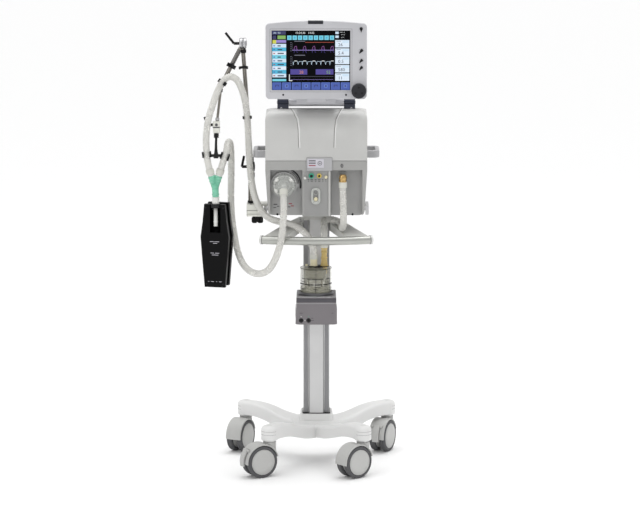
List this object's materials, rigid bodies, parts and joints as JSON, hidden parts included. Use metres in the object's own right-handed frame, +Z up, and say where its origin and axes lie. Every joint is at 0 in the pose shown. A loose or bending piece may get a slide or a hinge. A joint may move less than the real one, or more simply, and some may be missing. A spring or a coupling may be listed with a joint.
{
  "type": "mechanical ventilator",
  "caption": "Intensive-care ventilator on a wheeled column stand, with tilting touchscreen, heated humidifier, hose support arm, breathing hoses and test lung.",
  "frame": {"origin": "on the floor, on the axis of the stand's column", "axes": "+Z up, the screen and ports face -Y, +X is to the right of a person facing the screen"},
  "size_m": [0.6176, 0.4729, 1.4115],
  "materials": {
    "base_paint": "satin",
    "column_anodised": "satin",
    "bracket_paint": "satin",
    "bar_tube": "satin",
    "castor_plastic": "matte",
    "castor_tyre": "matte",
    "pedal_plastic": "matte",
    "housing_grey": "satin",
    "button_plastic": "matte",
    "heater_metal": "satin",
    "chamber_clear": "gloss",
    "chamber_plastic": "gloss",
    "cover_light": "satin",
    "cover_dark": "satin",
    "cover_side": "satin",
    "label_grey": "satin",
    "port_plastic": "gloss",
    "inlet_brass": "satin",
    "valve_plastic": "gloss",
    "handle_plastic": "satin",
    "rail_metal": "satin",
    "module_metal": "satin",
    "bezel_plastic": "satin",
    "screen_glass": "gloss",
    "lamp_plastic": "gloss",
    "black_plastic": "matte",
    "clamp_metal": "satin",
    "arm_metal": "satin",
    "hose_clear": "satin",
    "cuff_rubber": "matte",
    "y_green": "gloss",
    "lung_plastic": "satin",
    "lung_rubber": "matte"
  },
  "bodies": {
    "frame": {"arm_knuckles": "black_plastic", "arm_rods": "arm_metal", "base_casting": "base_paint", "chamber_dome": "chamber_clear", "chamber_fittings": "chamber_plastic", "column": "column_anodised", "exhalation_valve": "valve_plastic", "expiratory_hose": "hose_clear", "front_cover": "cover_light", "gas_inlets": "inlet_brass", "handle_bar": "bar_tube", "handle_bracket": "bracket_paint", "heater_plate": "heater_metal", "hinge_feet": "black_plastic", "hose_clips": "black_plastic", "hose_cuffs": "cuff_rubber", "hose_fork": "black_plastic", "humidifier_housing": "housing_grey", "inspiratory_hose": "hose_clear", "inspiratory_port": "valve_plastic", "internal_modules": "module_metal", "label_block": "label_grey", "lower_panel": "cover_light", "lung_bellows": "lung_rubber", "lung_rear_plate": "lung_plastic", "pressure_ports": "port_plastic", "rail_clamp": "clamp_metal", "rear_shell": "cover_side", "side_handles": "handle_plastic", "side_rails": "rail_metal", "supply_hose": "hose_clear", "y_piece": "y_green"},
    "castor_fl": {"castor_hood_fl": "castor_plastic"},
    "wheels_fl": {"castor_wheels_fl": "castor_tyre"},
    "castor_fr": {"castor_hood_fr": "castor_plastic"},
    "wheels_fr": {"castor_wheels_fr": "castor_tyre"},
    "castor_rl": {"castor_hood_rl": "castor_plastic"},
    "wheels_rl": {"castor_wheels_rl": "castor_tyre"},
    "castor_rr": {"castor_hood_rr": "castor_plastic"},
    "wheels_rr": {"castor_wheels_rr": "castor_tyre"},
    "brake_fl": {"brake_pedal_fl": "pedal_plastic"},
    "brake_rr": {"brake_pedal_rr": "pedal_plastic"},
    "humidifier_button_left": {"humidifier_button_left": "button_plastic"},
    "humidifier_button_right": {"humidifier_button_right": "button_plastic"},
    "lock_ring": {"exhalation_lock_ring": "cover_dark"},
    "monitor": {"monitor_bezel": "bezel_plastic", "monitor_rear_shell": "bezel_plastic", "lcd_panel": "screen_glass", "alarm_lamp": "lamp_plastic", "hinge_barrel": "cover_side"},
    "encoder_knob": {"encoder_knob": "black_plastic"},
    "key_power": {"key_power": "black_plastic"},
    "key_1": {"key_1": "black_plastic"},
    "key_2": {"key_2": "black_plastic"},
    "key_3": {"key_3": "black_plastic"},
    "lever_top": {"lever_top": "black_plastic"},
    "lever_middle": {"lever_middle": "black_plastic"},
    "lever_lower": {"lever_lower": "black_plastic"},
    "clamp_knob": {"clamp_knob": "black_plastic"},
    "lung_front": {"lung_front_plate": "lung_plastic"}
  },
  "joints": [
    {"name": "swivel_fl", "type": "hinge", "parent": "frame", "child": "castor_fl", "pos_m": [-0.145, -0.243, 0.11], "axis": [0, 0, 1], "continuous": true},
    {"name": "roll_fl", "type": "hinge", "parent": "castor_fl", "child": "wheels_fl", "pos_m": [-0.17649, -0.26045, 0.05], "axis": [0.4848, -0.8746, 0], "continuous": true},
    {"name": "swivel_fr", "type": "hinge", "parent": "frame", "child": "castor_fr", "pos_m": [0.145, -0.243, 0.11], "axis": [0, 0, 1], "continuous": true},
    {"name": "roll_fr", "type": "hinge", "parent": "castor_fr", "child": "wheels_fr", "pos_m": [0.11742, -0.26614, 0.05], "axis": [0.6428, -0.766, 0], "continuous": true},
    {"name": "swivel_rl", "type": "hinge", "parent": "frame", "child": "castor_rl", "pos_m": [-0.227, 0.125, 0.11], "axis": [0, 0, 1], "continuous": true},
    {"name": "roll_rl", "type": "hinge", "parent": "castor_rl", "child": "wheels_rl", "pos_m": [-0.24278, 0.09264, 0.05], "axis": [0.8988, -0.4384, 0], "continuous": true},
    {"name": "swivel_rr", "type": "hinge", "parent": "frame", "child": "castor_rr", "pos_m": [0.227, 0.125, 0.11], "axis": [0, 0, 1], "continuous": true},
    {"name": "roll_rr", "type": "hinge", "parent": "castor_rr", "child": "wheels_rr", "pos_m": [0.21236, 0.09211, 0.05], "axis": [0.9136, -0.4067, 0], "continuous": true},
    {"name": "brake_fl", "type": "hinge", "parent": "castor_fl", "child": "brake_fl", "pos_m": [-0.21468, -0.28162, 0.08664], "axis": [0.4848, -0.8746, 0], "range_deg": [0, 8]},
    {"name": "brake_rr", "type": "hinge", "parent": "castor_rr", "child": "brake_rr", "pos_m": [0.1946, 0.05222, 0.08664], "axis": [0.9136, -0.4067, 0], "range_deg": [0, 8]},
    {"name": "humidifier_press_left", "type": "slide", "parent": "frame", "child": "humidifier_button_left", "axis": [0, 1, 0], "range_m": [0, 0.0012], "stiffness_N_per_m": 300, "springref_m": -0.0008},
    {"name": "humidifier_press_right", "type": "slide", "parent": "frame", "child": "humidifier_button_right", "axis": [0, 1, 0], "range_m": [0, 0.0012], "stiffness_N_per_m": 300, "springref_m": -0.0008},
    {"name": "valve_lock", "type": "hinge", "parent": "frame", "child": "lock_ring", "pos_m": [-0.1, -0.161, 0.899], "axis": [0, 1, 0], "range_deg": [-20, 20]},
    {"name": "monitor_tilt", "type": "hinge", "parent": "frame", "child": "monitor", "pos_m": [0, -0.11, 1.15], "axis": [1, 0, 0], "range_deg": [-20, 10]},
    {"name": "knob_turn", "type": "hinge", "parent": "monitor", "child": "encoder_knob", "pos_m": [0.13, -0.22, 1.198], "axis": [0, 1, 0], "continuous": true},
    {"name": "key_power_press", "type": "slide", "parent": "monitor", "child": "key_power", "axis": [0, 1, 0], "range_m": [0, 0.001], "stiffness_N_per_m": 300, "springref_m": -0.0008},
    {"name": "key_1_press", "type": "slide", "parent": "monitor", "child": "key_1", "axis": [0, 1, 0], "range_m": [0, 0.001], "stiffness_N_per_m": 300, "springref_m": -0.0008},
    {"name": "key_2_press", "type": "slide", "parent": "monitor", "child": "key_2", "axis": [0, 1, 0], "range_m": [0, 0.001], "stiffness_N_per_m": 300, "springref_m": -0.0008},
    {"name": "key_3_press", "type": "slide", "parent": "monitor", "child": "key_3", "axis": [0, 1, 0], "range_m": [0, 0.001], "stiffness_N_per_m": 300, "springref_m": -0.0008},
    {"name": "lever_top_turn", "type": "hinge", "parent": "frame", "child": "lever_top", "pos_m": [-0.238, -0.06, 1.327], "axis": [1, 0, 0], "range_deg": [-35, 35]},
    {"name": "lever_middle_turn", "type": "hinge", "parent": "frame", "child": "lever_middle", "pos_m": [-0.215, -0.06, 0.942], "axis": [1, 0, 0], "range_deg": [-35, 35]},
    {"name": "lever_lower_turn", "type": "hinge", "parent": "frame", "child": "lever_lower", "pos_m": [-0.32, -0.097, 1.078], "axis": [1, 0, 0], "range_deg": [-35, 10]},
    {"name": "clamp_turn", "type": "hinge", "parent": "frame", "child": "clamp_knob", "pos_m": [-0.184, -0.065, 0.78], "axis": [0, 0, 1], "continuous": true},
    {"name": "lung_breathe", "type": "hinge", "parent": "frame", "child": "lung_front", "pos_m": [-0.31239, -0.11258, 0.579], "axis": [0.9703, -0.2419, 0], "range_deg": [0, 8], "stiffness_Nm_per_rad": 0.5, "springref_deg": -8.59}
  ]
}
